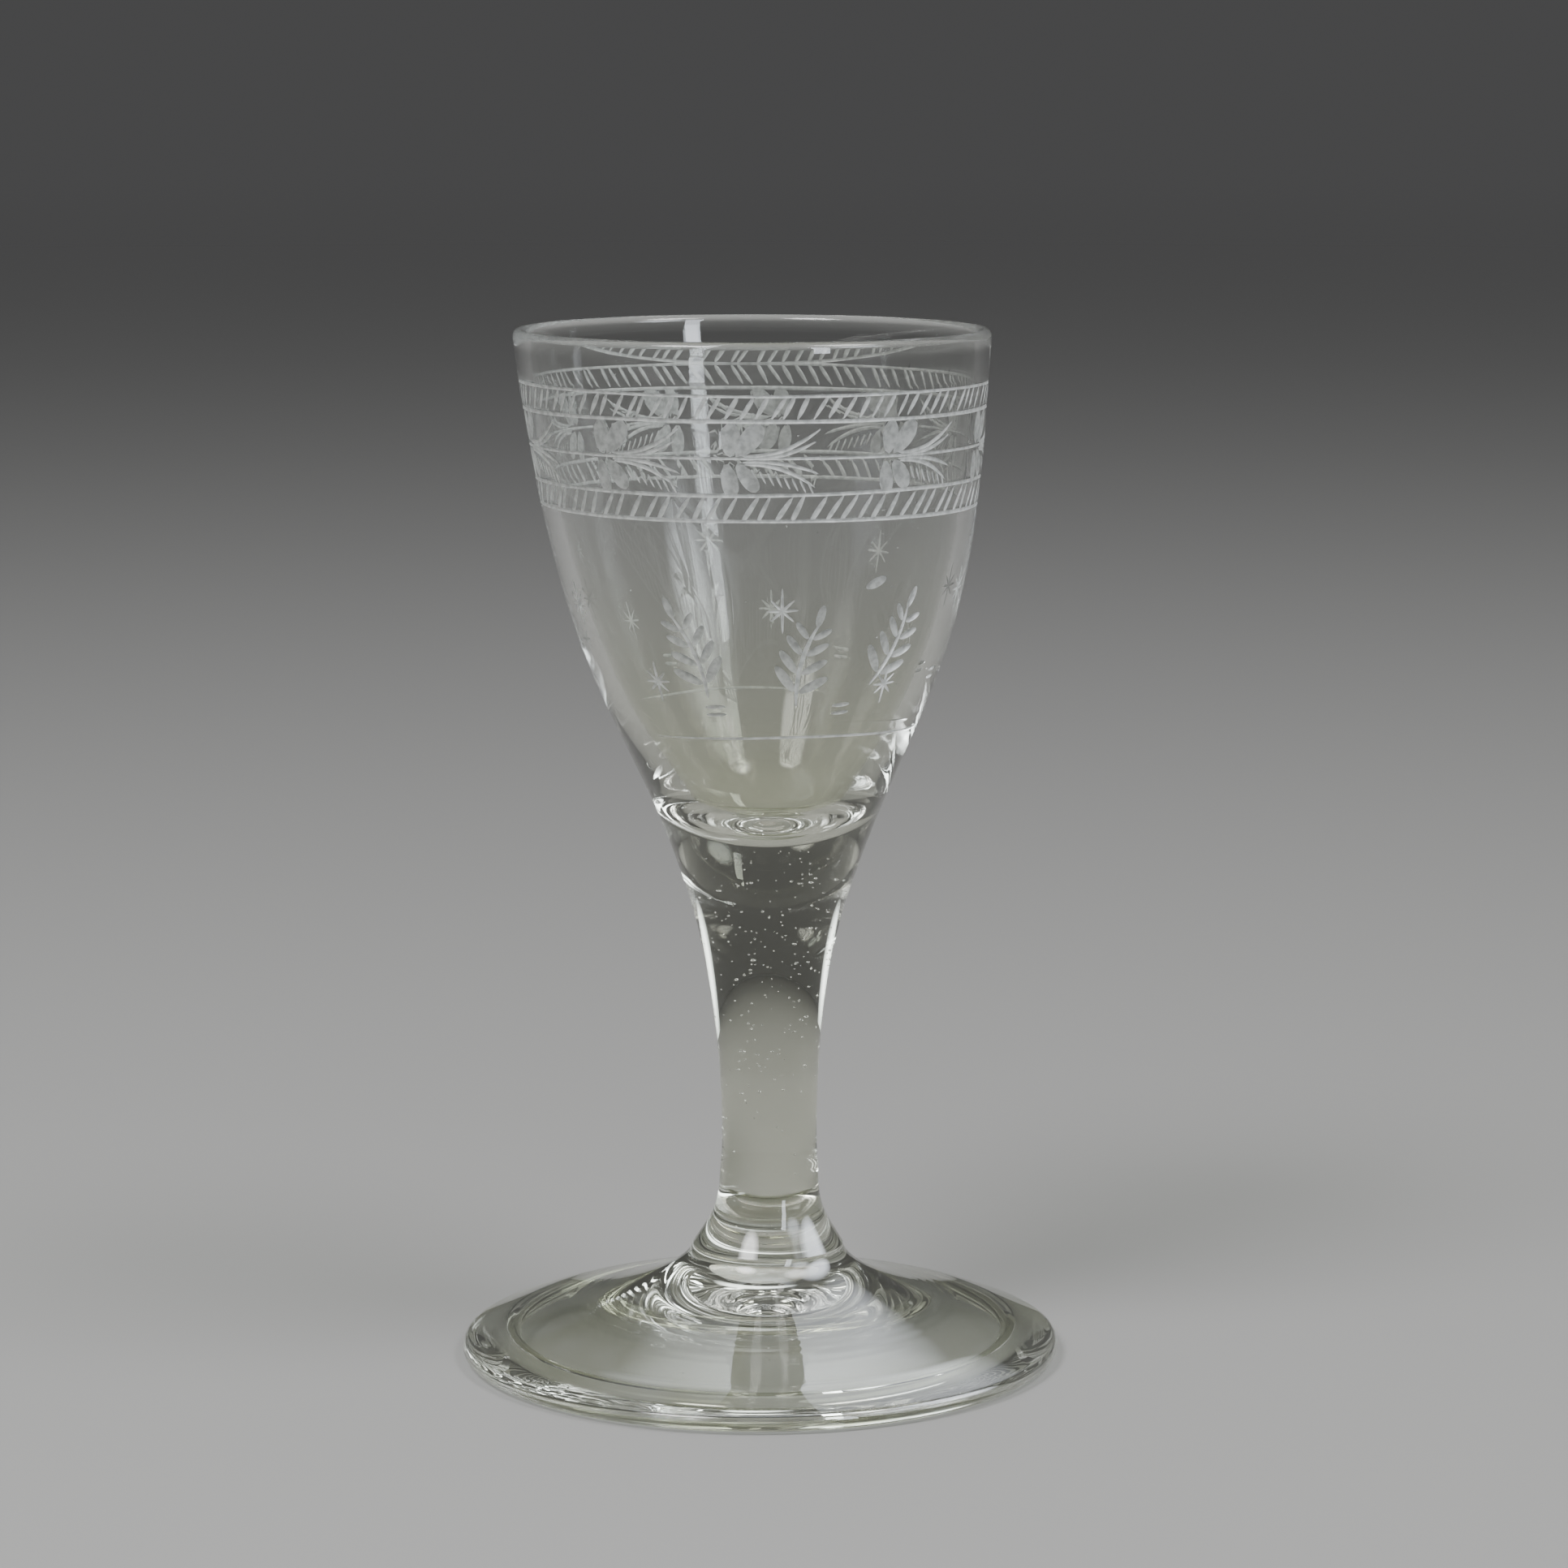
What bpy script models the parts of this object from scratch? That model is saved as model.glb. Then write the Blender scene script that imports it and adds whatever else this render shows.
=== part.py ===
"""Stemmed dram glass: a funnel bowl on a solid stem, a small post, and a conical foot with a folded rim.

Metres, +Z up. The origin is the centre of the ring that the glass stands on.
The pieces were made hot one after another and fused, so each is its own solid, and neighbours keep
FUSE_GAP between them.
"""

from math import cos, pi, radians, sin

import bpy
from mathutils import Vector

# ---- driving dimensions ---------------------------------------------------------------------------
HEIGHT = 0.1100            # standing surface to rim
FUSE_GAP = 0.0003          # left between two pieces that are fused on the real glass

RIM_RADIUS = 0.02505       # bowl, outside, at the rim
RIM_WALL = 0.0015          # fire-polished edge, so the rim's top is a half round
BOWL_HEIGHT = 0.0570       # fused joint to rim
BOWL_BASE_RADIUS = 0.00957  # bowl and stem, where they meet
FLOOR_THICKNESS = 0.0040   # solid glass under the bottom of the cavity
FLOOR_WALL = 0.0037        # wall at the level where the cavity's floor begins to round
FLOOR_ROUND = 0.0050       # height of the rounded floor

WAIST_RADIUS = 0.00509     # stem, at its thinnest
WAIST_RISE = 0.0056        # how far the waist stands above the stem's lower end
STEM_END_RADIUS = 0.00535

POST_HEIGHT = 0.00655      # the short gather between stem and foot
POST_BASE_RADIUS = 0.0081

FOOT_RADIUS = 0.03205
FOOT_RISE = 0.01185        # standing surface to the post
FOOT_SHEET = 0.0014        # the plate's thickness away from the fold and the middle
CREASE_RISE = 0.00370      # height of the top face where the fold begins
FOLD_WIDTH = 0.0058        # rim folded back under the foot
FOLD_SHEET = 0.0012        # thickness of the folded-back layer
SEAM_WIDTH = 0.0003        # open seam between the folded layer and the plate
SEAM_DEPTH = 0.0008        # how far the seam reaches in under the fold
EDGE_RADIUS = 0.00100      # round outer edge of the fold
REST_WIDTH = 0.0018        # flat worn ring that the glass stands on
REST_INSET = 0.0011        # from the outer edge to that ring
HOLLOW_RISE = 0.0070       # hollow under the foot, at its middle

SCAR_RADIUS = 0.0047       # broken glass left by the punty
SCAR_DEPTH = 0.0011

TURNS = 48                 # facets around every turned piece

# ---- levels and slopes that follow from them --------------------------------------------------------
HALF_GAP = FUSE_GAP / 2
POST_BASE = FOOT_RISE
POST_TOP = POST_BASE + POST_HEIGHT
BOWL_BASE = HEIGHT - BOWL_HEIGHT
CAVITY_FLOOR = BOWL_BASE + FLOOR_THICKNESS
RIM_CENTRE = HEIGHT - RIM_WALL / 2

WALL_SLOPE = 0.086         # outward run per rise of the bowl's side, just under the rim
JOINT_SLOPE = 0.344        # the same where bowl and stem meet


# ---- outlines: points (radius, height) ---------------------------------------------------------------
def cubic(start, start_pull, end_pull, end, steps):
    """Points along a smooth curve, without its first point, so that curves can follow one another."""
    points = []
    for step in range(1, steps + 1):
        t = step / steps
        s = 1 - t
        points.append(start * s ** 3 + start_pull * 3 * s * s * t + end_pull * 3 * s * t * t + end * t ** 3)
    return points


def arc(centre, radius, from_angle, to_angle, steps):
    """Points along a circular arc, both ends included; angles in degrees from the outward direction."""
    points = []
    for step in range(steps + 1):
        angle = radians(from_angle + (to_angle - from_angle) * step / steps)
        points.append(centre + radius * Vector((cos(angle), sin(angle))))
    return points


def along(slope, rise):
    """Step of the given rise on a side that runs outward by slope for each unit of rise."""
    return Vector((slope * rise, rise))


def joint_point(upper):
    """Where the shared outline of bowl and stem crosses the joint, on the upper or lower piece."""
    middle = Vector((BOWL_BASE_RADIUS, BOWL_BASE))
    return middle + along(JOINT_SLOPE, HALF_GAP if upper else -HALF_GAP)


def bowl_side(steps):
    """Outside of the bowl from the rim down to the joint."""
    top = Vector((RIM_RADIUS, RIM_CENTRE))
    base = joint_point(upper=True)
    rise = RIM_CENTRE - BOWL_BASE
    return cubic(top, top - along(WALL_SLOPE, 0.65 * rise), base + along(JOINT_SLOPE, 0.32 * rise), base, steps)


def wall_radius(side, height, wall):
    """Radius of the cavity at a height, from the outside there less the wall."""
    above, below = side[0], side[-1]
    for point in side:
        if point.y >= height:
            above = point
    for point in reversed(side):
        if point.y <= height:
            below = point
    span = max(above.y - below.y, 1e-9)
    return below.x + (above.x - below.x) * (height - below.y) / span - wall


def bowl_outline():
    side = bowl_side(18)
    floor_start = CAVITY_FLOOR + FLOOR_ROUND
    shoulder = Vector((wall_radius(bowl_side(96), floor_start, FLOOR_WALL), floor_start))
    lip = Vector((RIM_RADIUS - RIM_WALL, RIM_CENTRE))
    rise = RIM_CENTRE - floor_start
    middle = Vector((0, CAVITY_FLOOR))

    rounding = cubic(middle, middle + Vector((0.52 * shoulder.x, 0)),
                     shoulder - along(0.62, 0.44 * FLOOR_ROUND), shoulder, 7)
    wall = cubic(shoulder, shoulder + along(0.62, 0.17 * rise), lip - along(WALL_SLOPE, 0.63 * rise), lip, 14)
    rim = arc(Vector((RIM_RADIUS - RIM_WALL / 2, RIM_CENTRE)), RIM_WALL / 2, 180, 0, 6)
    base = Vector((0, side[-1].y))
    return [middle] + rounding + wall + rim[1:] + side + [base]


def stem_outline():
    top = joint_point(upper=False)
    end = Vector((STEM_END_RADIUS, POST_TOP + HALF_GAP))
    waist = Vector((WAIST_RADIUS, POST_TOP + WAIST_RISE))
    rise = top.y - waist.y
    flare = cubic(top, top - along(JOINT_SLOPE, 0.07 * rise), waist + Vector((0, 0.62 * rise)), waist, 12)
    foot = cubic(waist, waist - Vector((0, 0.5 * WAIST_RISE)), end + Vector((0, 0.3 * WAIST_RISE)), end, 4)
    return [Vector((0, top.y)), top] + flare + foot + [Vector((0, end.y))]


def post_outline():
    top = Vector((STEM_END_RADIUS, POST_TOP - HALF_GAP))
    base = Vector((POST_BASE_RADIUS, POST_BASE + HALF_GAP))
    rise = top.y - base.y
    side = cubic(top, top + Vector((0.04 * rise, -0.45 * rise)), base + Vector((-0.26 * rise, 0.40 * rise)), base, 8)
    return [Vector((0, top.y)), top] + side + [Vector((0, base.y))]


def foot_outline():
    """Top of the cone, round edge, worn ring, folded layer, seam, hollow."""
    seat = Vector((POST_BASE_RADIUS, FOOT_RISE - HALF_GAP))
    crease = Vector((FOOT_RADIUS - FOLD_WIDTH, CREASE_RISE))
    run = crease.x - seat.x
    drop = seat.y - crease.y
    cone = cubic(seat, seat + Vector((0.04 * run, -0.41 * drop)),
                 crease + Vector((-0.50 * run, 0.24 * drop)), crease, 12)

    edge = Vector((FOOT_RADIUS - EDGE_RADIUS, EDGE_RADIUS))
    rest_outer = Vector((FOOT_RADIUS - REST_INSET, 0))
    rest_inner = rest_outer - Vector((REST_WIDTH, 0))

    under_crease = crease - Vector((0, FOOT_SHEET))
    inward = (crease - edge - Vector((0, EDGE_RADIUS))).normalized()
    seam_end = under_crease - inward * SEAM_DEPTH
    lip_radius = FOLD_SHEET / 2
    lip_centre = under_crease - Vector((0, SEAM_WIDTH + lip_radius))
    lip = arc(lip_centre, lip_radius, 250, 80, 6)

    flat_end = Vector((SCAR_RADIUS + FUSE_GAP, HOLLOW_RISE))
    reach = under_crease.x - flat_end.x
    fall = flat_end.y - under_crease.y
    hollow = cubic(under_crease, under_crease + Vector((-0.35 * reach, 0.36 * fall)),
                   flat_end + Vector((0.16 * reach, -0.02 * fall)), flat_end, 9)
    return ([Vector((0, seat.y)), seat] + cone + arc(edge, EDGE_RADIUS, 65, -80, 5)
            + [rest_outer, rest_inner] + lip
            + [seam_end - Vector((0, SEAM_WIDTH)), seam_end, under_crease]
            + hollow + [Vector((0, HOLLOW_RISE))])


# ---- solids -----------------------------------------------------------------------------------------
def material(name, colour, roughness):
    made = bpy.data.materials.new(name)
    made.use_nodes = True
    shader = made.node_tree.nodes["Principled BSDF"]
    shader.inputs["Base Color"].default_value = (*colour, 1)
    shader.inputs["Roughness"].default_value = roughness
    shader.inputs["Metallic"].default_value = 0
    return made


def turned(name, outline, surface):
    """Solid of revolution about Z; the outline runs down the outside and both its ends are on the axis."""
    mesh = bpy.data.meshes.new(name)
    points = [(point.x, 0, point.y) for point in outline]
    mesh.from_pydata(points, [(i, i + 1) for i in range(len(points) - 1)], [])
    mesh.materials.append(surface)
    piece = bpy.data.objects.new(name, mesh)
    bpy.context.collection.objects.link(piece)
    screw = piece.modifiers.new("turn", "SCREW")
    screw.steps = screw.render_steps = TURNS
    screw.use_merge_vertices = True
    screw.merge_threshold = 0.00001
    screw.use_smooth_shade = True
    return piece


def pontil_scar(surface):
    """Low broken stub under the middle of the foot: uneven in outline and in depth."""
    top = HOLLOW_RISE - FUSE_GAP
    sides = 24
    verts = [(0, 0, top), (0, 0, top - 0.75 * SCAR_DEPTH)]
    for share, drop in ((0.90, 0), (1.0, 0.35), (0.80, 0.85), (0.42, 0.62)):
        for side in range(sides):
            angle = 2 * pi * side / sides
            wobble = 1 - 0.07 * (1 + cos(2 * angle + 0.6)) / 2 - 0.05 * (1 + sin(3 * angle)) / 2
            uneven = drop * (1 + 0.14 * cos(3 * angle + 1.1)) if drop else 0
            radius = share * wobble * SCAR_RADIUS
            verts.append((radius * cos(angle), radius * sin(angle), top - uneven * SCAR_DEPTH))
    faces = []
    for side in range(sides):
        after = (side + 1) % sides
        faces.append((0, 2 + side, 2 + after))
        for ring in range(3):
            upper = 2 + ring * sides
            lower = upper + sides
            faces.append((upper + side, lower + side, lower + after, upper + after))
        last = 2 + 3 * sides
        faces.append((last + after, last + side, 1))
    mesh = bpy.data.meshes.new("pontil_scar")
    mesh.from_pydata(verts, [], faces)
    mesh.materials.append(surface)
    mesh.shade_smooth()
    piece = bpy.data.objects.new("pontil_scar", mesh)
    bpy.context.collection.objects.link(piece)
    return piece


def main():
    for old in list(bpy.data.objects):
        bpy.data.objects.remove(old)
    turned("bowl", bowl_outline(), material("bowl_glass", (0.80, 0.84, 0.80), 0.02))
    turned("stem", stem_outline(), material("stem_glass", (0.76, 0.81, 0.77), 0.02))
    turned("post", post_outline(), material("post_glass", (0.76, 0.81, 0.77), 0.03))
    turned("foot", foot_outline(), material("foot_glass", (0.74, 0.79, 0.74), 0.04))
    pontil_scar(material("scar_glass", (0.62, 0.60, 0.52), 0.35))


main()
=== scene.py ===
"""Looks of the stemmed dram glass: clear seedy glass, wheel engraving, folded foot, and a small studio."""

import math
import random

import bpy
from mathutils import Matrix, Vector


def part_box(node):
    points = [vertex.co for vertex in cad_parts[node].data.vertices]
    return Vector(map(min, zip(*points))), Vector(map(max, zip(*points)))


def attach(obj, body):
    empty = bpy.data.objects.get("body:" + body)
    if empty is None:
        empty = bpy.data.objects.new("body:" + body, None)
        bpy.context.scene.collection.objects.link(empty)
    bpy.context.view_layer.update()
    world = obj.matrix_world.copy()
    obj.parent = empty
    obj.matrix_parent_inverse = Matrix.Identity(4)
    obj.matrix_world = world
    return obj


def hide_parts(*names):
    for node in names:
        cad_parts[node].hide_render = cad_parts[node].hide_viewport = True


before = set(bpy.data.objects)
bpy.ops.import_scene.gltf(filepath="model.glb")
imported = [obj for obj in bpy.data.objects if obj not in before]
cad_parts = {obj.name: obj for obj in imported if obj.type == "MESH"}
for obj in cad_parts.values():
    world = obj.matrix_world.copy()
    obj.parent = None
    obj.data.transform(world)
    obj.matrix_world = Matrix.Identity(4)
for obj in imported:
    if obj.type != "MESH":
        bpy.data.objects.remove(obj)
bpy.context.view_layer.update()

MM = 0.001
TAU = 2 * math.pi


# ---- sizes, from the frame --------------------------------------------------------------------------
def node_box(node):
    low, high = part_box(node)
    return Vector(low), Vector(high)


bowl_low, bowl_high = node_box("bowl")
stem_low, stem_high = node_box("stem")
post_low, post_high = node_box("post")
_, foot_high = node_box("foot")
scar_low, scar_high = node_box("pontil_scar")

HEIGHT = bowl_high.z
RIM_R = bowl_high.x
FOOT_R = foot_high.x
HALF_GAP = (bowl_low.z - stem_high.z) / 2
BOWL_JOINT = (bowl_low.z + stem_high.z) / 2      # the fused joints are closed: pieces end on these levels
STEM_JOINT = (stem_low.z + post_high.z) / 2
POST_JOINT = (post_low.z + foot_high.z) / 2
SCAR_JOINT = scar_high.z + HALF_GAP
JOINT_R = 9.57 * MM
STEM_END_R = 5.35 * MM
WAIST_R = 5.09 * MM
WAIST_RISE = 5.6 * MM            # how far the waist stands above the stem's lower end
POST_R = post_high.x

RIM_WALL = 1.5 * MM
CAVITY_FLOOR = BOWL_JOINT + 4.0 * MM
FLOOR_ROUND = 5.0 * MM           # height of the cavity's rounded floor
SHOULDER_R = 9.6 * MM            # cavity, where its floor begins to round

FOLD_WIDTH = 5.8 * MM            # rim folded back under the foot
FOLD_SHEET = 1.2 * MM            # thickness of the folded-back layer
CREASE_RISE = 3.70 * MM          # height of the foot's top where the fold begins
FOOT_SHEET = 1.4 * MM
EDGE_RADIUS = 1.0 * MM           # round outer edge of the fold
REST_INSET = 1.1 * MM            # from the outer edge to the ring that the glass stands on
REST_WIDTH = 1.8 * MM
SEAM_WIDTH = 0.3 * MM            # open seam between the folded layer and the foot
SEAM_DEPTH = 0.8 * MM
SCAR_R = 4.2 * MM
SCAR_FLAT_R = 5.0 * MM           # flat in the hollow's middle, round the scar

SECTORS = 240                    # facets round a turned piece


# ---- modelling by hand ---------------------------------------------------------------------------------
def clear_selection():
    bpy.ops.object.select_all(action="DESELECT")


def make_active(piece):
    clear_selection()
    piece.select_set(True)
    bpy.context.view_layer.objects.active = piece
    return piece


def apply_modifier(piece, kind, **settings):
    make_active(piece)
    modifier = piece.modifiers.new(kind.lower(), kind)
    for name, value in settings.items():
        setattr(modifier, name, value)
    bpy.ops.object.modifier_apply(modifier=modifier.name)


def joined(pieces, name):
    clear_selection()
    for piece in pieces:
        piece.select_set(True)
    bpy.context.view_layer.objects.active = pieces[0]
    bpy.ops.object.join()
    made = bpy.context.active_object
    made.name = made.data.name = name
    bpy.ops.object.transform_apply(location=True, rotation=True, scale=True)
    return made


def cubic(start, start_pull, end_pull, end, steps):
    """Points along a smooth curve, without its first point, so that curves can follow one another."""
    points = []
    for step in range(1, steps + 1):
        t = step / steps
        s = 1 - t
        points.append(start * s ** 3 + start_pull * 3 * s * s * t + end_pull * 3 * s * t * t + end * t ** 3)
    return points


def arc(centre, radius, from_angle, to_angle, steps):
    """Points along a circular arc; angles in degrees from the outward direction."""
    points = []
    for step in range(steps + 1):
        angle = math.radians(from_angle + (to_angle - from_angle) * step / steps)
        points.append(centre + radius * Vector((math.cos(angle), math.sin(angle))))
    return points


def along(slope, rise):
    """Step of the given rise on a side that runs outward by slope for each unit of rise."""
    return Vector((slope * rise, rise))


def turned(name, outline, sectors=SECTORS):
    """Draws the outline point by point at +X, spins it round Z, and closes it at the poles."""
    clear_selection()
    bpy.ops.mesh.primitive_plane_add(size=MM, location=(0, 0, 0))
    piece = bpy.context.active_object
    piece.name = piece.data.name = name
    bpy.ops.object.mode_set(mode="EDIT")
    bpy.ops.mesh.merge(type="CENTER")
    here = Vector((0, 0))
    for point in outline:
        step = point - here
        if point is outline[0]:
            bpy.ops.transform.translate(value=(step.x, 0, step.y))
        else:
            bpy.ops.mesh.extrude_region_move(TRANSFORM_OT_translate={"value": (step.x, 0, step.y)})
        here = point
    bpy.ops.mesh.select_all(action="SELECT")
    bpy.ops.mesh.spin(steps=sectors, angle=TAU, center=(0, 0, 0), axis=(0, 0, 1))
    bpy.ops.mesh.select_all(action="SELECT")
    bpy.ops.mesh.remove_doubles(threshold=0.002 * MM)
    bpy.ops.mesh.dissolve_degenerate(threshold=0.0005 * MM)
    bpy.ops.mesh.normals_make_consistent(inside=False)
    bpy.ops.object.mode_set(mode="OBJECT")
    return piece


# ---- outlines: (radius, height), down the outside --------------------------------------------------------
WALL_SLOPE = 0.086      # outward run per rise of the bowl's side, just under the rim
JOINT_SLOPE = 0.344     # the same where bowl and stem meet
FLOOR_SLOPE = 0.62      # the same on the cavity, where its floor begins to round


def bowl_side(steps):
    """Outside of the bowl, from the rim down to the joint."""
    top = Vector((RIM_R, HEIGHT - RIM_WALL / 2))
    base = Vector((JOINT_R, BOWL_JOINT))
    rise = top.y - base.y
    return [top] + cubic(top, top - along(WALL_SLOPE, 0.65 * rise),
                         base + along(JOINT_SLOPE, 0.32 * rise), base, steps)


def bowl_outline():
    side = bowl_side(84)
    floor_start = CAVITY_FLOOR + FLOOR_ROUND
    shoulder = Vector((SHOULDER_R, floor_start))
    lip = Vector((RIM_R - RIM_WALL, HEIGHT - RIM_WALL / 2))
    rise = lip.y - floor_start
    middle = Vector((0, CAVITY_FLOOR))
    rounding = cubic(middle, middle + Vector((0.52 * shoulder.x, 0)),
                     shoulder - along(FLOOR_SLOPE, 0.44 * FLOOR_ROUND), shoulder, 24)
    wall = cubic(shoulder, shoulder + along(FLOOR_SLOPE, 0.17 * rise),
                 lip - along(WALL_SLOPE, 0.63 * rise), lip, 60)
    rim = arc(Vector((RIM_R - RIM_WALL / 2, lip.y)), RIM_WALL / 2, 180, 0, 14)
    return [middle] + rounding + wall + rim[1:-1] + side + [Vector((0, BOWL_JOINT))]


def stem_side():
    """Outside of the stem: flare, waist, and the lower end that widens again."""
    top = Vector((JOINT_R, BOWL_JOINT))
    end = Vector((STEM_END_R, STEM_JOINT))
    waist = Vector((WAIST_R, STEM_JOINT + WAIST_RISE))
    rise = top.y - waist.y
    flare = cubic(top, top - along(JOINT_SLOPE, 0.07 * rise), waist + Vector((0, 0.62 * rise)), waist, 56)
    lower_end = cubic(waist, waist - Vector((0, 2.8 * MM)), end + Vector((0, 1.7 * MM)), end, 14)
    return [top] + flare + lower_end


def stem_outline():
    return [Vector((0, BOWL_JOINT))] + stem_side() + [Vector((0, STEM_JOINT))]


def post_outline():
    top = Vector((STEM_END_R, STEM_JOINT))
    base = Vector((POST_R, POST_JOINT))
    rise = top.y - base.y
    side = cubic(top, top + Vector((0.04 * rise, -0.45 * rise)),
                 base + Vector((-0.26 * rise, 0.40 * rise)), base, 30)
    return [Vector((0, top.y)), top] + side + [Vector((0, base.y))]


TOOL_RINGS = ((17.2, 0.012), (18.1, 0.018), (19.3, 0.012), (20.7, 0.014))     # radius and depth, mm
RING_SPREAD = 0.30                                                             # mm


def foot_top():
    """Top of the cone from the post out to the fold, with the rings that the shaping tool left."""
    seat = Vector((POST_R, POST_JOINT))
    crease = Vector((FOOT_R - FOLD_WIDTH, CREASE_RISE))
    run = crease.x - seat.x
    drop = seat.y - crease.y
    cone = cubic(seat, seat + Vector((0.04 * run, -0.41 * drop)),
                 crease + Vector((-0.50 * run, 0.24 * drop)), crease, 72)
    for point in cone[:-1]:       # the crease itself stays where it is
        for ring, depth in TOOL_RINGS:
            point.y -= depth * MM * math.exp(-((point.x / MM - ring) / RING_SPREAD) ** 2)
    return [seat] + cone


def foot_outline():
    """Top of the cone, fold, round edge, resting ring, folded layer, seam, hollow."""
    top = foot_top()
    crease = top[-1]
    edge = Vector((FOOT_R - EDGE_RADIUS, EDGE_RADIUS))
    edge_start = math.radians(65)
    fold = cubic(crease, crease + Vector((1.0 * MM, -0.15 * MM)), edge + Vector((-1.2 * MM, 1.55 * MM)),
                 edge + EDGE_RADIUS * Vector((math.cos(edge_start), math.sin(edge_start))), 16)
    rest_outer = Vector((FOOT_R - REST_INSET, 0))
    rest_inner = rest_outer - Vector((REST_WIDTH, 0))

    under_crease = crease - Vector((0, FOOT_SHEET))
    inward = (crease - edge - Vector((0, EDGE_RADIUS))).normalized()
    seam_end = under_crease - inward * SEAM_DEPTH
    lip_radius = FOLD_SHEET / 2
    lip = arc(under_crease - Vector((0, SEAM_WIDTH + lip_radius)), lip_radius, 250, 80, 14)

    flat_end = Vector((SCAR_FLAT_R, SCAR_JOINT))
    reach = under_crease.x - flat_end.x
    fall = flat_end.y - under_crease.y
    hollow = cubic(under_crease, under_crease + Vector((-0.35 * reach, 0.36 * fall)),
                   flat_end + Vector((0.16 * reach, -0.02 * fall)), flat_end, 36)
    return ([Vector((0, top[0].y))] + top + fold + arc(edge, EDGE_RADIUS, 55, -80, 12)
            + [rest_outer, rest_inner] + lip
            + [seam_end - Vector((0, SEAM_WIDTH)), seam_end, under_crease]
            + hollow + [Vector((SCAR_R, SCAR_JOINT)), Vector((0, SCAR_JOINT))])


def scar_outline():
    """Low stub, from the joint down to its blunt bottom."""
    rise = SCAR_JOINT - scar_low.z
    edge = Vector((SCAR_R, SCAR_JOINT))
    bottom = Vector((0, SCAR_JOINT - 0.72 * rise))
    return [Vector((0, SCAR_JOINT)), edge] + cubic(edge, edge + Vector((0.4 * MM, -0.9 * rise)),
                                                   Vector((0.45 * SCAR_R, bottom.y)), bottom, 14)


# ---- the wheel engraving --------------------------------------------------------------------------------
SIDE = bowl_side(400)


def side_at(height):
    """Radius of the bowl's outside at a height, and its outward run per rise there."""
    for upper, lower in zip(SIDE, SIDE[1:]):
        if lower.y <= height:
            slope = (upper.x - lower.x) / (upper.y - lower.y)
            return lower.x + slope * (height - lower.y), slope
    return SIDE[-1].x, JOINT_SLOPE


def over_bowl(angle, height, lift):
    """Point above the bowl's outside: angle in degrees from the front towards +X, lift along the normal."""
    radius, slope = side_at(height)
    turn = math.radians(angle)
    length = math.hypot(1, slope)
    out = radius + lift / length
    return Vector((out * math.sin(turn), -out * math.cos(turn), height - lift * slope / length))


def wheel_size(width, depth):
    """Radius of the round wheel edge that leaves a groove of this width and depth."""
    return (width * width / 4 + depth * depth) / (2 * depth)


def wheel_cut(cuts, route, width, depth, heel=0.5, closed=False, steps=9):
    """Adds one pass of the wheel along route(t), which gives (angle, height).

    A closed pass keeps its depth, unsteadily. An open one sinks in and lifts out again, deepest at heel,
    and starts and ends just clear of the glass.
    """
    radius = wheel_size(width, depth)
    points = []
    for step in range(steps - 1 if closed else steps + 1):
        t = step / steps
        angle, height = route(t)
        if closed:
            unsteady = 0.13 * math.sin(5 * TAU * t + height * 9000) + 0.07 * math.sin(23 * TAU * t)
            sink = depth * (0.80 + unsteady)
        else:
            bent = t ** (math.log(0.5) / math.log(heel))
            sink = depth * (1 - (2 * bent - 1) ** 2) - 0.01 * MM
        points.append(over_bowl(angle, height, radius - sink))
    cuts.append((points, radius, closed))


def cutter(name, cuts, roundness, surface):
    """One solid for all the passes in the list, which don't touch each other."""
    tubes = []
    for points, radius, closed in cuts:
        curve = bpy.data.curves.new(name, "CURVE")
        curve.dimensions = "3D"
        curve.bevel_depth = radius
        curve.bevel_resolution = roundness
        curve.use_fill_caps = True
        spline = curve.splines.new("POLY")
        spline.points.add(len(points) - 1)
        for point, place in zip(spline.points, points):
            point.co = (*place, 1)
        spline.use_cyclic_u = closed
        tube = bpy.data.objects.new(name, curve)
        bpy.context.collection.objects.link(tube)
        tubes.append(tube)
    clear_selection()
    for tube in tubes:
        tube.select_set(True)
    bpy.context.view_layer.objects.active = tubes[0]
    bpy.ops.object.convert(target="MESH")
    made = joined(tubes, name)
    made.data.materials.clear()
    made.data.materials.append(surface)
    bpy.ops.object.mode_set(mode="EDIT")
    bpy.ops.mesh.select_all(action="SELECT")
    bpy.ops.mesh.remove_doubles(threshold=0.0005 * MM)
    bpy.ops.mesh.normals_make_consistent(inside=False)
    bpy.ops.object.mode_set(mode="OBJECT")
    return made


def on_side(angle, height):
    """Flat drawing board laid on the bowl at an angle and a height in millimetres.

    It gives place(x, z), which turns millimetres on the board into an angle and a height in metres.
    """
    radius, _ = side_at(height * MM)

    def place(x, z):
        return angle + math.degrees(x * MM / radius), (height + z) * MM
    return place


def stroke(group, place, start, end, width, depth, heel=0.5, sag=(0, 0), steps=10):
    """One pass from start to end on the board, bowed sideways by sag at its middle."""
    def route(t):
        bow = 4 * t * (1 - t)
        return place(start[0] + (end[0] - start[0]) * t + bow * sag[0],
                     start[1] + (end[1] - start[1]) * t + bow * sag[1])
    wheel_cut(group, route, width * MM, depth * MM, heel=heel, steps=steps)


LINES = ((104.6, 0.36, 0.07), (102.0, 0.46, 0.08), (98.25, 0.34, 0.07),
         (94.7, 0.44, 0.08), (92.0, 0.44, 0.08))                       # height, width and depth, mm
FLOWERS = (-40, -5, 34, 71, 106, 140, 174, 204, 240, 280)              # degrees from the front towards +X
STROKES = ((102.0, 104.65, 100, 1.75, 0.54, 0.64),                     # low, high, count, lean, width, heel
           (91.95, 94.75, 84, 1.85, 0.60, 0.36))
STROKE_DEPTH = 0.12


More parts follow.
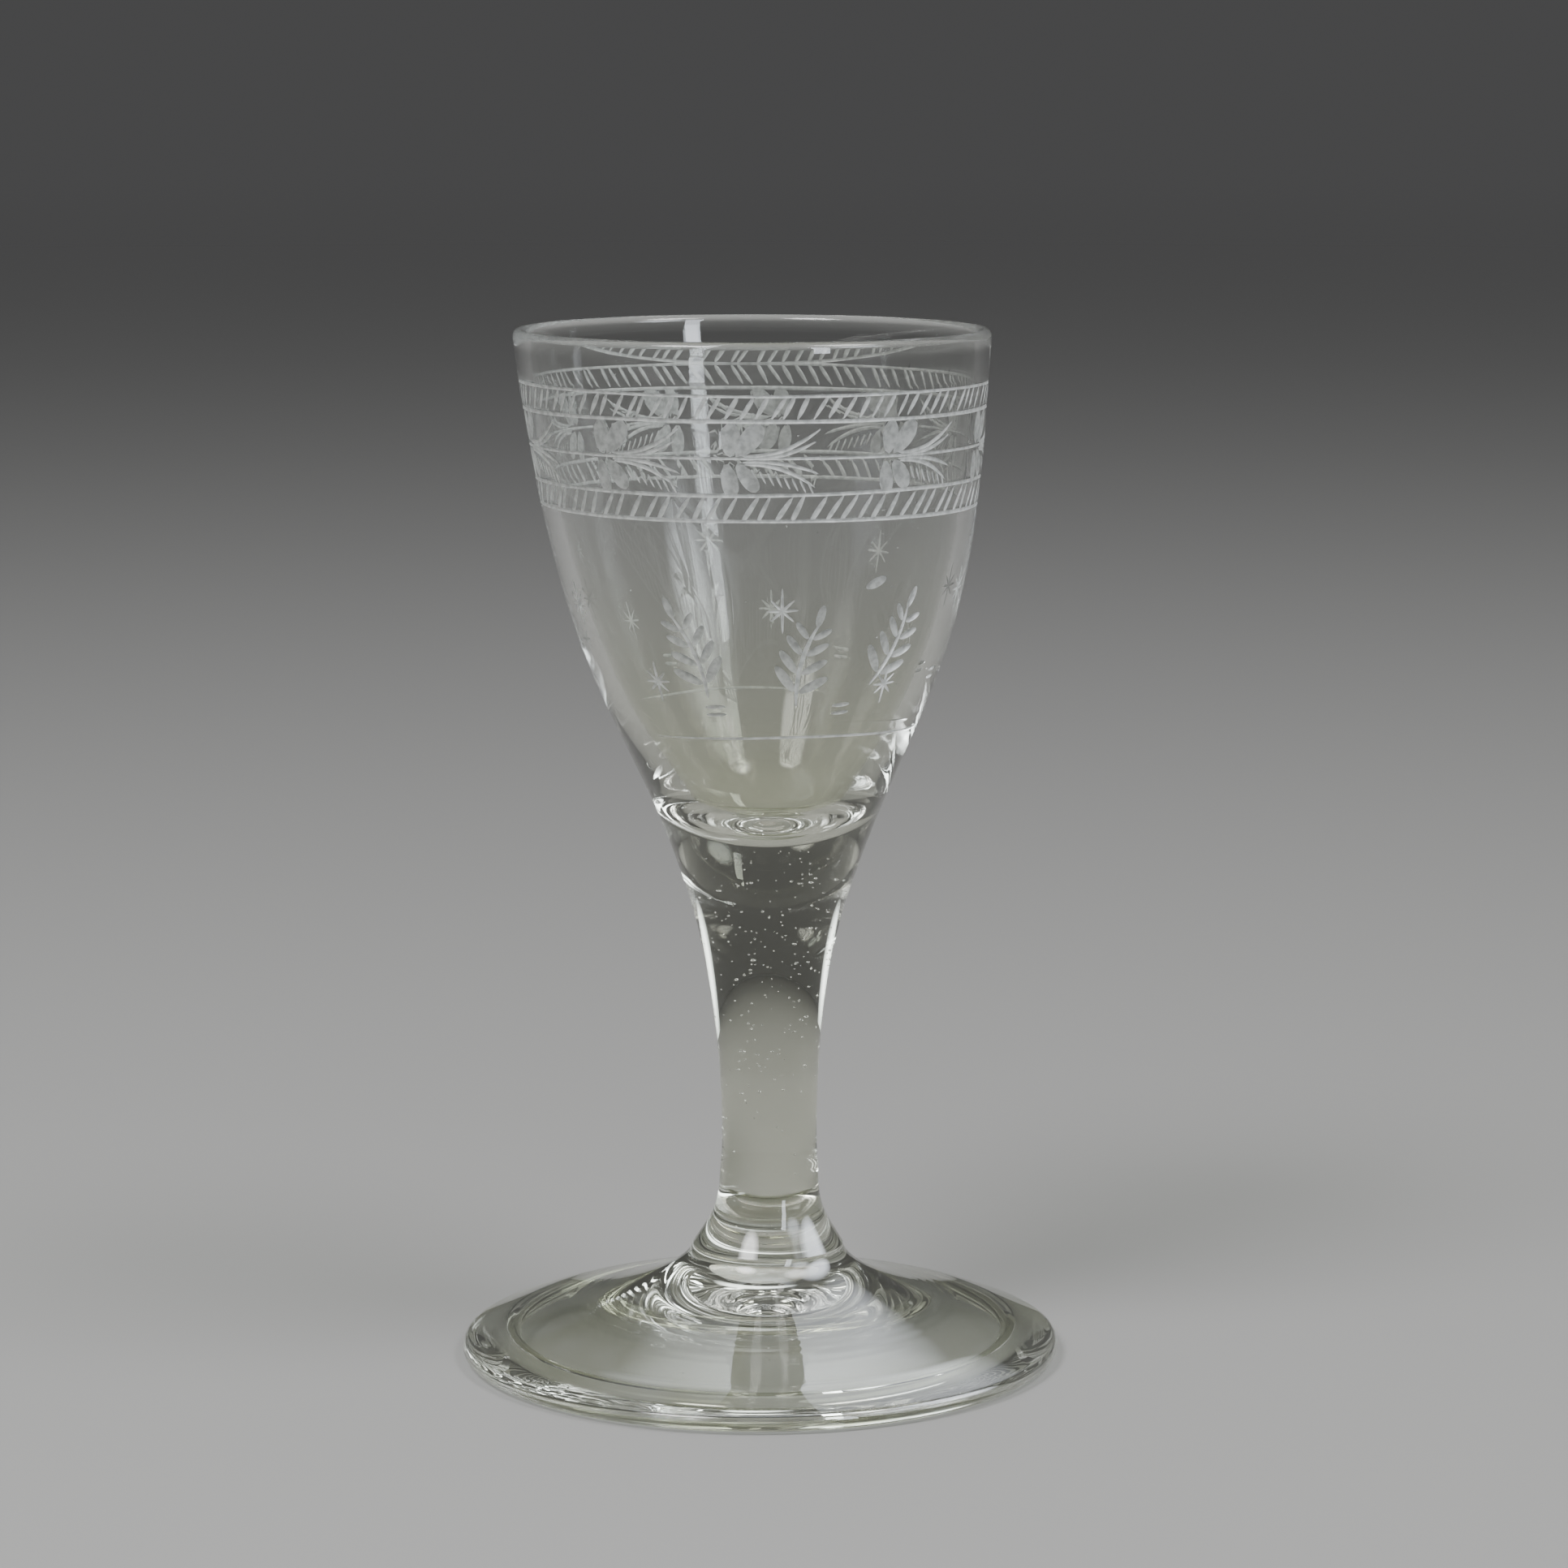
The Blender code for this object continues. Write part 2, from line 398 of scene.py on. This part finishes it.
def border(groups, chance):
    """Five turned lines with two bands of slanting strokes between them."""
    for height, width, depth in LINES:
        wander = chance.uniform(0, TAU)

        def line(t, height=height, wander=wander):
            drift = 0.10 * math.sin(TAU * t + wander) + 0.05 * math.sin(3 * TAU * t + 2 * wander)
            return 360 * t, (height + drift) * MM
        wheel_cut(groups["lines"], line, width * MM, depth * MM, closed=True, steps=240)

    for low, high, count, lean, width, heel in STROKES:
        for number in range(count):
            place = on_side(360 * (number + 0.16 * chance.uniform(-1, 1)) / count, low)
            top = (high - low) * chance.uniform(0.92, 1.02)
            stroke(groups["strokes"], place, (0, 0), (lean * chance.uniform(0.75, 1.1), top),
                   width * chance.uniform(0.8, 1.1), STROKE_DEPTH * chance.uniform(0.75, 1.1), heel=heel)


PETALS = (((0.3, 0.1), (3.2, 3.3), 2.4), ((-0.2, 0.1), (0.3, 3.4), 2.3),           # root, tip, width, mm
          ((-0.5, -0.1), (-0.1, -3.6), 1.9), ((0.4, -0.2), (2.4, -3.0), 2.0))
SPRAY = (((1.0, 0.4), (9.6, 3.4), 0.48, 0.42, -0.95), ((2.0, 0.2), (9.0, 2.0), 0.46, 0.40, -0.55),
         ((1.0, -0.3), (9.2, -1.6), 0.46, 0.42, 0.55), ((1.2, -0.5), (8.8, -3.1), 0.48, 0.42, 0.85))


def flower(groups, chance, angle):
    """Four broad petals on the middle line, and a spray of leaves and barbs to the right of them."""
    place = on_side(angle + chance.uniform(-1, 1), LINES[2][0])
    for number, (root, tip, width) in enumerate(PETALS, start=1):
        stroke(groups[f"petals_{number}"], place, root, tip, width * chance.uniform(0.92, 1.08), 0.15,
               heel=0.66, steps=8)
    for number, (root, tip, width, heel, sag) in enumerate(SPRAY, start=1):
        stroke(groups[f"leaves_{number}"], place, root, tip, width, 0.10, heel=heel, sag=(0, sag), steps=14)
    for barb in range(8):
        x = 2.0 + 0.82 * barb
        top = -0.75 - 0.19 * barb
        stroke(groups["barbs"], place, (x, top - 0.15), (x + 0.65, top - 1.6), 0.26, 0.07,
               heel=0.35, steps=6)


def star(groups, angle, height, size=1.0):
    """Eight rays: four passes that cross in the middle."""
    place = on_side(angle, height)
    for number, (tilt, length) in enumerate(((90, 2.6), (2, 1.8), (42, 1.8), (-44, 1.8)), start=1):
        dx = length * size * math.cos(math.radians(tilt))
        dz = length * size * math.sin(math.radians(tilt))
        stroke(groups[f"leaves_{number}"], place, (-dx, -dz), (dx, dz), 0.36, 0.08)


def sprig(groups, angle, height, tilt, turn):
    """Small leafy twig: a bowed stalk, leaves in pairs that shorten upwards, and one at the tip."""
    place = on_side(angle, height)
    up = Vector((math.sin(math.radians(tilt)), math.cos(math.radians(tilt))))
    out = Vector((up.y, -up.x))

    def at(rise):
        bow = 0.9 * turn * (1 - (rise / 5.0) ** 2)
        return up * rise + out * bow

    stroke(groups["stalks"], place, at(-5.0), at(5.0), 0.55, 0.10,
           heel=0.45, sag=tuple(out * 0.9 * turn), steps=12)
    for pair, rise in enumerate((-3.2, -1.2, 0.8, 2.6)):
        length = 3.6 - 0.45 * pair
        root = at(rise)
        for hand, group in ((1, "leaves_5"), (-1, "leaves_6")):
            tip = root + up * 0.62 * length + out * hand * 0.80 * length
            stroke(groups[group + "ab"[pair % 2]], place, root + out * hand * 0.25, tip,
                   1.15 - 0.12 * pair, 0.11, heel=0.52, steps=8)
    stroke(groups["leaves_5a"], place, at(4.0), at(4.0) + up * 2.3, 0.95, 0.11, steps=8)


STARS = ((5.8, 82.7, 1.0), (41.5, 74.4, 0.9), (-35.6, 74.8, 0.9), (-65, 82.1, 1.0),    # angle, height, size
         (-79, 77.5, 0.8), (73, 83.4, 1.0), (115, 76.0, 0.9), (141, 84.2, 1.0),
         (-163, 85.0, 1.0), (-125, 77.0, 0.9), (-100, 85.5, 0.9), (178, 77.5, 0.9))
TWIGS = ((-23, 77.8, -18, 1), (14, 77.0, 14, -1), (40, 78.8, 22, 1))            # angle, height, tilt, bow
DASHES = ((-16.5, 71.9, 2.2), (26, 72.0, 2.0), (68, 74.6, 1.8),                 # angle, height, length
          (150, 73.0, 2.0), (-140, 72.4, 2.0))
LOW_RING = 68.9


def lower_ornament(groups):
    """Stars, three leafy twigs, an oval, short dashes and an unsteady ring low on the bowl."""
    for angle, height, size in STARS:
        star(groups, angle, height, size)
    for angle, height, tilt, turn in TWIGS:
        sprig(groups, angle, height, tilt, turn)
    oval = on_side(32.8, 85.3)
    stroke(groups["petals_1"], oval, (-1.15, -0.45), (1.15, 0.45), 1.15, 0.11, steps=8)
    for angle, height, length in DASHES:
        place = on_side(angle, height)
        for group, rise in (("petals_2", -0.42), ("petals_3", 0.42)):
            stroke(groups[group], place, (-length / 2, rise), (length / 2, rise + 0.12), 0.5, 0.10)
    for group, start, end in (("lines_low", -52, 84), ("stalks", 150, 262)):

        def ring(t, start=start, end=end):
            return start + (end - start) * t, (LOW_RING + 0.22 * math.sin(7 * t + start)) * MM
        wheel_cut(groups[group], ring, 0.36 * MM, 0.05 * MM, steps=70)


def engraving():
    """Groups of passes; passes in one group stay clear of each other."""
    chance = random.Random(41)
    names = ("lines", "lines_low", "strokes", "leaves_1", "leaves_2", "leaves_3", "leaves_4", "barbs",
             "stalks", "leaves_5a", "leaves_5b", "leaves_6a", "leaves_6b",
             "petals_1", "petals_2", "petals_3", "petals_4")
    groups = {name: [] for name in names}
    border(groups, chance)
    for angle in FLOWERS:
        flower(groups, chance, angle)
    lower_ornament(groups)
    return groups


# ---- materials ------------------------------------------------------------------------------------------
GLASS_IOR = 1.51


def linear(hex_colour):
    """sRGB hex to linear RGBA."""
    channels = []
    for start in (1, 3, 5):
        value = int(hex_colour[start:start + 2], 16) / 255
        channels.append(value / 12.92 if value <= 0.04045 else ((value + 0.055) / 1.055) ** 2.4)
    return (*channels, 1)


def node(tree, kind, settings=(), inputs=(), links=()):
    """Adds one node with its settings, its inputs' values and its links."""
    made = tree.nodes.new(kind)
    for name, value in dict(settings).items():
        setattr(made, name, value)
    for name, value in dict(inputs).items():
        made.inputs[name].default_value = value
    for name, source in dict(links).items():
        tree.links.new(source, made.inputs[name])
    return made


def empty_material(name):
    made = bpy.data.materials.new(name)
    made.use_nodes = True
    made.node_tree.nodes.clear()
    return made, made.node_tree


def blend_of(tree, share, first, second):
    """Mixes two linear colours; share is the output that says how much of the second."""
    made = node(tree, "ShaderNodeMix", settings={"data_type": "RGBA"}, links={"Factor": share})
    made.inputs["A"].default_value = first
    made.inputs["B"].default_value = second
    return made.outputs["Result"]


def mottle(tree, scale, detail, low, high, distortion=0.0):
    """Soft patches, 1 / scale metres across, as a share from 0 to 1."""
    where = node(tree, "ShaderNodeTexCoord")
    noise = node(tree, "ShaderNodeTexNoise",
                 inputs={"Scale": scale, "Detail": detail, "Distortion": distortion},
                 links={"Vector": where.outputs["Object"]})
    spread = node(tree, "ShaderNodeMapRange", inputs={"From Min": low, "From Max": high},
                  links={"Value": noise.outputs["Fac"]})
    return spread.outputs["Result"]


def lamps_pass(tree, body, clear=(0.94, 0.95, 0.93, 1), aslant=(0.30, 0.32, 0.30, 1)):
    """Lamps shine through the glass, less where they meet it aslant, so that its shadow is pale."""
    facing = node(tree, "ShaderNodeLayerWeight", inputs={"Blend": 0.35})
    shade = blend_of(tree, facing.outputs["Facing"], clear, aslant)
    through = node(tree, "ShaderNodeBsdfTransparent", links={"Color": shade})
    path = node(tree, "ShaderNodeLightPath")
    both = node(tree, "ShaderNodeMixShader",
                links={0: path.outputs["Is Shadow Ray"], 1: body.outputs[0], 2: through.outputs[0]})
    node(tree, "ShaderNodeOutputMaterial", links={"Surface": both.outputs[0]})


def clear_glass():
    """Clear soda glass of the bowl and stem: neutral at the thin rim, faintly straw-green where thick."""
    made, tree = empty_material("clear_soda_glass")
    where = node(tree, "ShaderNodeTexCoord")
    split = node(tree, "ShaderNodeSeparateXYZ", links={0: where.outputs["Object"]})
    climb = node(tree, "ShaderNodeMapRange", settings={"interpolation_type": "SMOOTHSTEP"},
                 inputs={"From Min": 52 * MM, "From Max": 96 * MM}, links={"Value": split.outputs["Z"]})
    tint = blend_of(tree, climb.outputs["Result"], linear("#e7e9d8"), linear("#f7f8f6"))
    body = node(tree, "ShaderNodeBsdfPrincipled", links={"Base Color": tint},
                inputs={"Roughness": 0.0, "IOR": GLASS_IOR, "Transmission Weight": 1.0})
    lamps_pass(tree, body)
    return made


def foot_glass():
    """The same glass in the foot, with cloudy patches of deeper straw-green, about 11 mm across."""
    made, tree = empty_material("clear_foot_glass")
    patches = mottle(tree, 90.0, 1.0, 0.38, 0.62, distortion=0.6)
    tint = blend_of(tree, patches, linear("#e4e6d2"), linear("#eff1e6"))
    body = node(tree, "ShaderNodeBsdfPrincipled", links={"Base Color": tint},
                inputs={"Roughness": 0.0, "IOR": GLASS_IOR, "Transmission Weight": 1.0})
    lamps_pass(tree, body)
    return made


def ground_glass(name, clear_spots, full_frost, clearness):
    """Glass ground by a copper wheel and left matt: fine grey-white frosting, mottled where less ground.

    The grit's own pits are too fine to show, so the mottling is drawn at 0.7 mm.
    """
    made, tree = empty_material(name)
    tint = blend_of(tree, mottle(tree, 1400.0, 4.0, 0.36, 0.60), linear(clear_spots), linear(full_frost))
    body = node(tree, "ShaderNodeBsdfPrincipled", links={"Base Color": tint},
                inputs={"Roughness": 0.5, "IOR": GLASS_IOR, "Transmission Weight": clearness})
    lamps_pass(tree, body, clear=(0.80, 0.80, 0.79, 1))
    return made


def broken_glass():
    """Snapped-off glass, never ground: rough and glittering, with old brown dirt in it."""
    made, tree = empty_material("broken_glass")
    tint = blend_of(tree, mottle(tree, 700.0, 4.0, 0.46, 0.68), linear("#e6e4da"), linear("#a58f6c"))
    body = node(tree, "ShaderNodeBsdfPrincipled", links={"Base Color": tint},
                inputs={"Roughness": 0.5, "IOR": GLASS_IOR, "Transmission Weight": 0.85})
    lamps_pass(tree, body, clear=(0.7, 0.68, 0.62, 1))
    return made


def fused_joint():
    """Where two pieces of hot glass became one: light passes without bending."""
    made, tree = empty_material("fused_joint")
    clear = node(tree, "ShaderNodeBsdfTransparent")
    node(tree, "ShaderNodeOutputMaterial", links={"Surface": clear.outputs[0]})
    return made


def seed_air():
    """Air trapped in glass: the index is that of air seen from inside the glass."""
    made, tree = empty_material("trapped_air")
    body = node(tree, "ShaderNodeBsdfGlass",
                inputs={"Color": (1, 1, 1, 1), "Roughness": 0.0, "IOR": 1 / GLASS_IOR})
    lamps_pass(tree, body, clear=(1, 1, 1, 1), aslant=(0.9, 0.9, 0.9, 1))
    return made


CLEAR = clear_glass()
FOOT_CLEAR = foot_glass()
LINE_FROST = ground_glass("wheel_ground_lines", "#b4b6b3", "#e0e2df", 0.52)       # narrow cuts, the palest
PETAL_FROST = ground_glass("wheel_ground_petals", "#a9aba8", "#d8dad7", 0.66)    # broad cuts, a little darker
BROKEN = broken_glass()
FUSED = fused_joint()
AIR = seed_air()


# ---- finishing a piece -------------------------------------------------------------------------------------
LEAN = (-0.10, 0.62, 0.95, 0.90, 0.87, 0.83, 0.76, 0.60, 0.36, -0.02, -0.42, -0.80)     # mm, foot to rim
UNROUND = 0.16                                                                          # mm
CAGE_WIDTH = 75 * MM


def sway_cage():
    """Lattice that gives the straight pieces the lean and the slight unroundness of free-blown glass."""
    chance = random.Random(7)
    across = 4
    lattice = bpy.data.lattices.new("sway")
    lattice.points_u, lattice.points_v, lattice.points_w = across, across, len(LEAN)
    lattice.interpolation_type_w = "KEY_CARDINAL"
    cage = bpy.data.objects.new("sway", lattice)
    bpy.context.collection.objects.link(cage)
    cage.location = (0, 0, HEIGHT / 2)
    cage.scale = (CAGE_WIDTH / (across - 1), CAGE_WIDTH / (across - 1), HEIGHT / (len(LEAN) - 1))
    bpy.context.view_layer.update()
    for index, point in enumerate(lattice.points):
        level = index // (across * across)
        point.co_deform.x += (LEAN[level] + UNROUND * chance.uniform(-1, 1)) * MM / cage.scale.x
        point.co_deform.y += UNROUND * chance.uniform(-1, 1) * MM / cage.scale.y
    return cage


CAGE = sway_cage()


def mark_joints(piece, heights, reach=1.0):
    """Gives the flat faces on the joint planes, out to the reach, the see-through joint finish."""
    piece.data.materials.append(FUSED)
    slot = len(piece.data.materials) - 1
    for face in piece.data.polygons:
        flat = abs(face.normal.z) > 0.999 and face.center.xy.length < reach
        if flat and any(abs(face.center.z - height) < 0.01 * MM for height in heights):
            face.material_index = slot


def finished(piece, slot, *nodes):
    """Bends the piece with the cage, and says what it rides on and what it replaces; slot, its finish, is not
    used.
    """
    apply_modifier(piece, "LATTICE", object=CAGE)
    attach(piece, "root")
    if nodes:
        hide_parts(*nodes)
    return piece


def smooth(piece, angle):
    make_active(piece)
    bpy.ops.object.shade_smooth_by_angle(angle=math.radians(angle))


# ---- pieces ---------------------------------------------------------------------------------------------
def make_bowl():
    """Turned bowl, cut by one group of engraving after another, which leave their frost in the cuts."""
    bowl = turned("bowl_glass", bowl_outline())
    bowl.data.materials.append(CLEAR)
    mark_joints(bowl, (BOWL_JOINT,))
    bowl.data.materials.append(LINE_FROST)
    bowl.data.materials.append(PETAL_FROST)
    for name, cuts in engraving().items():
        broad = name.startswith(("petals", "leaves_5", "leaves_6"))
        tool = cutter(name, cuts, 20 if broad else 6, PETAL_FROST if broad else LINE_FROST)
        apply_modifier(bowl, "BOOLEAN", object=tool, operation="DIFFERENCE", solver="MANIFOLD")
        bpy.data.objects.remove(tool)
    smooth(bowl, 14)
    return finished(bowl, "bowl_glass", "bowl")


def make_stem():
    stem = turned("stem_glass", stem_outline())
    stem.data.materials.append(CLEAR)
    mark_joints(stem, (BOWL_JOINT, STEM_JOINT))
    smooth(stem, 30)
    return finished(stem, "stem_glass", "stem")


def make_post():
    post = turned("post_glass", post_outline())
    post.data.materials.append(CLEAR)
    mark_joints(post, (STEM_JOINT, POST_JOINT))
    smooth(post, 30)
    return finished(post, "stem_glass", "post")


def make_foot():
    foot = turned("foot_glass", foot_outline(), sectors=2 * SECTORS)
    foot.data.materials.append(FOOT_CLEAR)
    mark_joints(foot, (POST_JOINT,))
    mark_joints(foot, (SCAR_JOINT,), reach=SCAR_R)
    smooth(foot, 30)
    return finished(foot, "foot_glass", "foot")


def make_scar():
    """Stub left by the punty: turned roughly, then broken up below the joint."""
    scar = turned("pontil_scar", scar_outline(), sectors=64)
    scar.data.materials.append(BROKEN)
    mark_joints(scar, (SCAR_JOINT,))
    make_active(scar)
    bpy.ops.object.mode_set(mode="EDIT")
    bpy.ops.mesh.select_all(action="SELECT")
    bpy.ops.mesh.subdivide(number_cuts=2)
    bpy.ops.object.mode_set(mode="OBJECT")
    broken = scar.vertex_groups.new(name="broken")
    below = [vertex.index for vertex in scar.data.vertices if vertex.co.z < SCAR_JOINT - 0.02 * MM]
    broken.add(below, 1.0, "REPLACE")
    chips = bpy.data.textures.new("chips", "CLOUDS")
    chips.noise_scale = 2.2 * MM
    apply_modifier(scar, "DISPLACE", texture=chips, texture_coords="LOCAL", strength=0.25 * MM,
                   vertex_group="broken")
    smooth(scar, 50)
    return finished(scar, "scar_glass", "pontil_scar")


def outline_radius(outline, height):
    """Radius of an outline that runs downwards, at a height."""
    for upper, lower in zip(outline, outline[1:]):
        if lower.y <= height <= upper.y:
            return lower.x + (upper.x - lower.x) * (height - lower.y) / max(upper.y - lower.y, 1e-9)
    return outline[-1].x


STEM_SEEDS = 300
POST_SEEDS = 26
BOWL_SEEDS = 110
FOOT_SEEDS = 60


def around(turn, radius, height):
    return radius * math.cos(turn), radius * math.sin(turn), height


def seed_places(chance):
    """Place, radius and half length of each bubble: many in the stem, a few in the post, bowl and foot."""
    stem = stem_side()
    places = []
    for _ in range(STEM_SEEDS):
        height = STEM_JOINT + 1.0 * MM + (BOWL_JOINT + 2.6 * MM - STEM_JOINT) * chance.random() ** 0.55
        radius = outline_radius(stem, min(height, BOWL_JOINT)) - 0.7 * MM
        turn = chance.uniform(0, TAU)
        out = radius * math.sqrt(chance.random())
        size = (0.060 + 0.065 * chance.random() ** 3) * MM
        places.append((around(turn, out, height), size, size * chance.uniform(1.0, 1.6)))
    for _ in range(POST_SEEDS):
        height = POST_JOINT - 1.0 * MM + 6.0 * MM * chance.random()
        turn = chance.uniform(0, TAU)
        out = 4.6 * MM * math.sqrt(chance.random())
        size = (0.05 + 0.06 * chance.random() ** 2) * MM
        places.append((around(turn, out, height), size, size))
    for _ in range(BOWL_SEEDS):
        height = (64 + 44 * chance.random() ** 1.3) * MM
        radius, _slope = side_at(height)
        turn = chance.uniform(0, TAU)
        deep = chance.uniform(0.45, 0.75) * MM
        size = (0.045 + 0.06 * chance.random() ** 3) * MM
        places.append((around(turn, radius - deep, height), size, size))
    top = foot_top()
    for _ in range(FOOT_SEEDS):
        point = top[int(chance.uniform(10, len(top) - 2))]
        turn = chance.uniform(0, TAU)
        size = (0.045 + 0.06 * chance.random() ** 3) * MM
        places.append((around(turn, point.x, point.y - 0.65 * MM), size, size))
    return places


def make_seeds():
    """Fine bubbles of air, those in the stem drawn out along it."""
    clear_selection()
    bpy.ops.mesh.primitive_uv_sphere_add(segments=8, ring_count=6, radius=1)
    first = bpy.context.active_object
    bpy.ops.object.shade_smooth()
    first.data.materials.append(AIR)

    seeds = []
    for place, size, tall in seed_places(random.Random(19)):
        seed = first.copy()
        seed.data = first.data.copy()
        bpy.context.collection.objects.link(seed)
        seed.location = place
        seed.scale = (size, size, tall)
        seeds.append(seed)
    bpy.data.objects.remove(first)
    return finished(joined(seeds, "seed_bubbles"), "stem_glass")


PIECES = [make_bowl(), make_stem(), make_post(), make_foot(), make_scar(), make_seeds()]
bpy.data.objects.remove(CAGE)


# ---- studio -----------------------------------------------------------------------------------------------
FADE_START = 0.7        # metres from the glass
FADE_END = 4.5


def paper():
    """Matt pale backdrop paper, which fades into the room far behind the glass, so no edge shows."""
    made, tree = empty_material("matt_paper")
    body = node(tree, "ShaderNodeBsdfPrincipled", inputs={
        "Base Color": linear("#b2b2b1"), "Roughness": 0.95, "Specular IOR Level": 0.1})
    where = node(tree, "ShaderNodeTexCoord")
    reach = node(tree, "ShaderNodeVectorMath", settings={"operation": "LENGTH"},
                 links={0: where.outputs["Object"]})
    fade = node(tree, "ShaderNodeMapRange", settings={"interpolation_type": "SMOOTHSTEP"},
                inputs={"From Min": FADE_START, "From Max": FADE_END},
                links={"Value": reach.outputs["Value"]})
    gone = node(tree, "ShaderNodeBsdfTransparent")
    both = node(tree, "ShaderNodeMixShader",
                links={0: fade.outputs["Result"], 1: body.outputs[0], 2: gone.outputs[0]})
    node(tree, "ShaderNodeOutputMaterial", links={"Surface": both.outputs[0]})
    return made


def feather(lamp):
    """Makes a lamp brightest in its middle, fading towards its edges."""
    lamp.use_nodes = True
    tree = lamp.node_tree
    where = node(tree, "ShaderNodeNewGeometry")
    centred = node(tree, "ShaderNodeMapping", links={"Vector": where.outputs["Parametric"]})
    centred.inputs["Location"].default_value = (-1, -1, 0)
    centred.inputs["Scale"].default_value = (2, 2, 0)
    fade = node(tree, "ShaderNodeTexGradient", settings={"gradient_type": "SPHERICAL"},
                links={"Vector": centred.outputs["Vector"]})
    even = node(tree, "ShaderNodeMapRange", inputs={"From Max": 0.55}, links={"Value": fade.outputs["Fac"]})
    tree.links.new(even.outputs["Result"], tree.nodes["Emission"].inputs["Strength"])


NEUTRAL = (1, 1, 1)
DAYLIGHT = (0.87, 0.92, 1.0)       # the glint lamps are a little cooler than the other two


def soft_lamp(name, azimuth, elevation, distance, width, height, power, only=None, soft=True):
    """Lamp aimed at the middle of the glass: a feathered soft box, or an even one if it isn't soft.

    Azimuth 0 is on the camera's side, 90 is at +X. With a collection in only, it lights nothing else.
    """
    lamp = bpy.data.lights.new(name, "AREA")
    lamp.shape = "RECTANGLE"
    lamp.size, lamp.size_y = width, height
    lamp.energy = power
    lamp.color = DAYLIGHT if only else NEUTRAL
    if soft:
        feather(lamp)
    holder = bpy.data.objects.new(name, lamp)
    bpy.context.collection.objects.link(holder)
    turn, rise = math.radians(azimuth), math.radians(elevation)
    away = Vector((math.sin(turn) * math.cos(rise), -math.cos(turn) * math.cos(rise), math.sin(rise)))
    target = Vector((0, 0, 0.5 * HEIGHT))
    holder.location = target + away * distance
    holder.rotation_euler = (-away).to_track_quat("-Z", "Y").to_euler()
    holder.visible_camera = False
    if only:
        holder.light_linking.receiver_collection = only


def lit_group(name, *starts):
    """Collection of the pieces whose names begin so, for the lamps that light nothing else."""
    group = bpy.data.collections.new(name)
    for piece in PIECES:
        if piece.name.startswith(starts):
            group.objects.link(piece)
    return group


clear_selection()
bpy.ops.mesh.primitive_circle_add(vertices=256, radius=5.0, fill_type="NGON", location=(0, 0, -0.0002))
floor = bpy.context.active_object
floor.name = floor.data.name = "floor"
floor.data.materials.append(paper())

GLASS_ONLY = lit_group("lit_glass", "")             # all the pieces, and not the floor
STEM_ONLY = lit_group("lit_stem", "stem", "seed")
FOOT_ONLY = lit_group("lit_foot_and_post", "post", "foot")

# name, azimuth, elevation, distance, width, height, power
soft_lamp("key", -40, 50, 0.90, 0.45, 0.45, 16.0)
soft_lamp("fill", 60, 55, 0.90, 0.45, 0.45, 10.0)
soft_lamp("window_bar", 33, 17, 0.85, 0.12, 0.58, 3.4, GLASS_ONLY, soft=False)
soft_lamp("right_window", 54, 29, 0.80, 0.44, 0.40, 5.5, GLASS_ONLY)
soft_lamp("right_card", 112, 8, 0.80, 0.56, 0.44, 5.5, STEM_ONLY)
soft_lamp("left_card", -112, 8, 0.80, 0.56, 0.44, 5.5, STEM_ONLY)
soft_lamp("flare_light", 90, 36, 0.80, 0.60, 0.80, 34.0, FOOT_ONLY)
soft_lamp("overhead", 0, 88, 0.90, 0.70, 0.60, 6.0, FOOT_ONLY)
soft_lamp("back_window", 160, 46, 0.90, 1.00, 0.60, 8.0, FOOT_ONLY)


def room_light():
    """Plain room: dark grey at eye level and below it, a little paler overhead."""
    world = bpy.data.worlds.new("room")
    bpy.context.scene.world = world
    world.use_nodes = True
    tree = world.node_tree
    where = node(tree, "ShaderNodeTexCoord")
    split = node(tree, "ShaderNodeSeparateXYZ", links={0: where.outputs["Generated"]})
    climb = node(tree, "ShaderNodeMapRange", settings={"interpolation_type": "SMOOTHSTEP"},
                 inputs={"From Min": 0.02, "From Max": 0.9}, links={"Value": split.outputs["Z"]})
    shade = blend_of(tree, climb.outputs["Result"], (0.070, 0.070, 0.071, 1), (0.150, 0.150, 0.152, 1))
    tree.links.new(shade, tree.nodes["Background"].inputs["Color"])


room_light()

CAMERA_PLACE = (2.5 * MM, -493 * MM, 139.8 * MM)
LOOKS_DOWN = 9.0              # degrees
camera = bpy.data.cameras.new("camera")
camera.lens, camera.sensor_width = 108.0, 36.0
camera.clip_start, camera.clip_end = 0.01, 20
viewer = bpy.data.objects.new("camera", camera)
bpy.context.collection.objects.link(viewer)
viewer.location = CAMERA_PLACE
viewer.rotation_euler = (math.radians(90 - LOOKS_DOWN), 0, 0)
bpy.context.scene.camera = viewer

LONG_PATH = 128               # light runs round many times inside the folded edge
cycles = bpy.context.scene.cycles
cycles.max_bounces = LONG_PATH
cycles.transmission_bounces = LONG_PATH
cycles.glossy_bounces = LONG_PATH
cycles.transparent_max_bounces = 40
cycles.caustics_reflective = False
cycles.caustics_refractive = False
